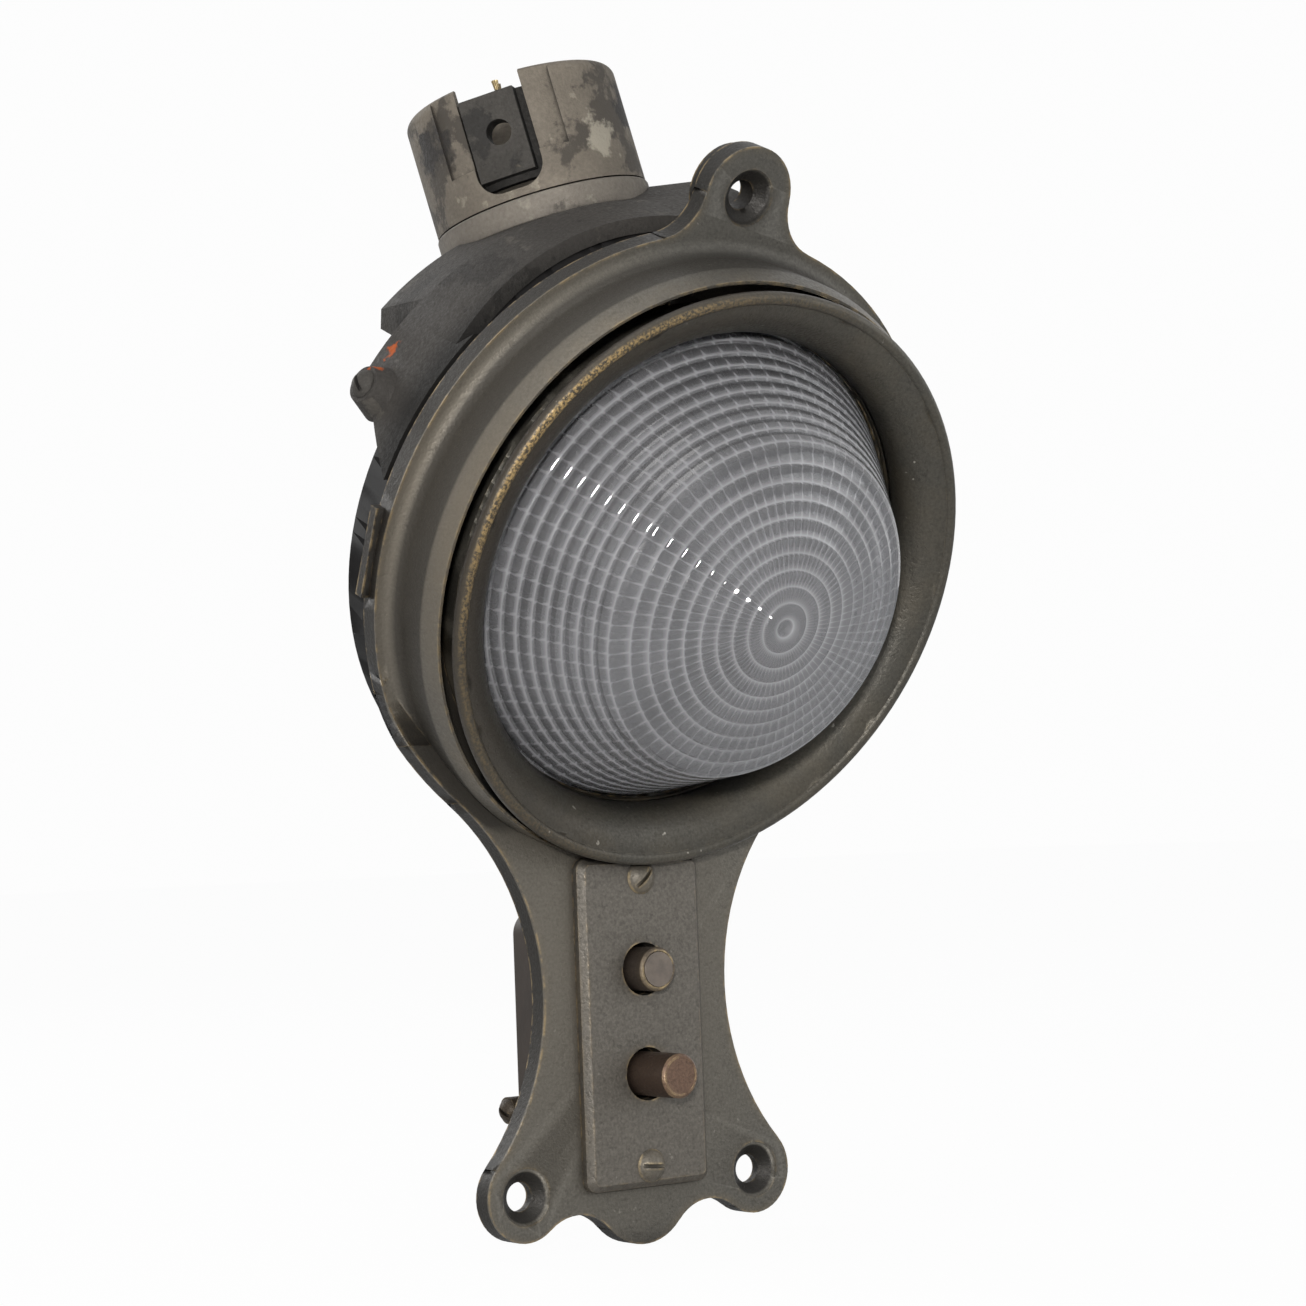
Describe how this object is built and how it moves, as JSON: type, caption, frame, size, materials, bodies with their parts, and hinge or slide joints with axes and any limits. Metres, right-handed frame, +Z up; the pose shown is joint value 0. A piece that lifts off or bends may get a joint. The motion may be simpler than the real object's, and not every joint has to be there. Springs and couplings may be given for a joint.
{
  "type": "train car light",
  "caption": "Old railway carriage wall lamp: bent bronze face flange, bayonet bezel with a stepped prismatic glass lens, push-button switch and a rear conduit hub.",
  "frame": {"origin": "midway between the two lower fixing holes, on the rear face of the flange, which lies on the wall", "axes": "+Z up along the wall, the front faces -Y, +X to the right seen from the front"},
  "size_m": [0.1649, 0.1251, 0.2962],
  "materials": {
    "bronze": "dark brown patina, worn bright on the edges",
    "bezel_bronze": "dark patina with worn golden edges",
    "lens_glass": "clear pressed glass with stepped rings and flutes",
    "gasket": "aged dark rubber",
    "ring_brass": "dull olive brass",
    "plate_bronze": "dark patina with worn bevels",
    "screw_brass": "dull tarnished brass",
    "button_brass": "dark, with a worn brass rim",
    "pearl": "greyed pearl",
    "button_copper": "copper brown, rim worn to gold",
    "steel": "dull grey",
    "bakelite": "dark brown moulding",
    "contact_brass": "satin",
    "rocker_copper": "satin",
    "japan_black": "worn black enamel",
    "reflector_silver": "dull polish",
    "porcelain": "glazed white",
    "bulb_glass": "clear",
    "weathered_iron": "chalky grey weathering over dark metal",
    "clamp_iron": "dark oxide",
    "wire": "cut bare ends"
  },
  "bodies": {
    "lamp": {"face_flange": "bronze", "cover_plate": "plate_bronze", "cover_screws": "screw_brass", "switch_strap": "steel", "strap_screws": "screw_brass", "switch_body": "bakelite", "switch_back": "bakelite", "rocker_pin": "contact_brass", "switch_contacts": "contact_brass", "switch_terminals": "contact_brass", "can_gasket": "gasket", "lamp_can": "japan_black", "can_screws": "screw_brass", "reflector": "reflector_silver", "lamp_socket": "porcelain", "socket_shell": "contact_brass", "socket_contact": "contact_brass", "bulb_cap": "contact_brass", "bulb_glass": "bulb_glass", "rear_housing": "weathered_iron", "housing_screws": "screw_brass", "hub_collar": "weathered_iron", "conduit_hub": "weathered_iron", "clamp_shoe": "clamp_iron", "wire_stubs": "wire"},
    "bezel": {"bezel_ring": "bezel_bronze", "lens": "lens_glass", "lens_gasket": "gasket", "lens_retaining_ring": "ring_brass"},
    "upper_button": {"upper_button": "button_brass", "button_inlay": "pearl"},
    "lower_button": {"lower_button": "button_copper"},
    "rocker": {"switch_rocker": "rocker_copper"}
  },
  "joints": [
    {"name": "bezel_turn", "type": "hinge", "parent": "lamp", "child": "bezel", "pos_m": [0, -0.02336, 0.15574], "axis": [0, -0.9033, -0.4289], "range_deg": [0, 25]},
    {"name": "lower_push", "type": "slide", "parent": "lamp", "child": "lower_button", "axis": [0, 1, 0], "range_m": [0, 0.0075]},
    {"name": "upper_push", "type": "slide", "parent": "lamp", "child": "upper_button", "axis": [0, 1, 0], "range_m": [-0.0075, 0]},
    {"name": "rocker_swing", "type": "hinge", "parent": "lamp", "child": "rocker", "pos_m": [0, 0.01735, 0.0403], "axis": [1, 0, 0], "range_deg": [0, 33.6]}
  ],
  "couplings": [
    {"joint": "upper_push", "follows": "lower_push", "ratio": -1},
    {"joint": "rocker_swing", "follows": "lower_push", "rad_per_m": 78}
  ]
}
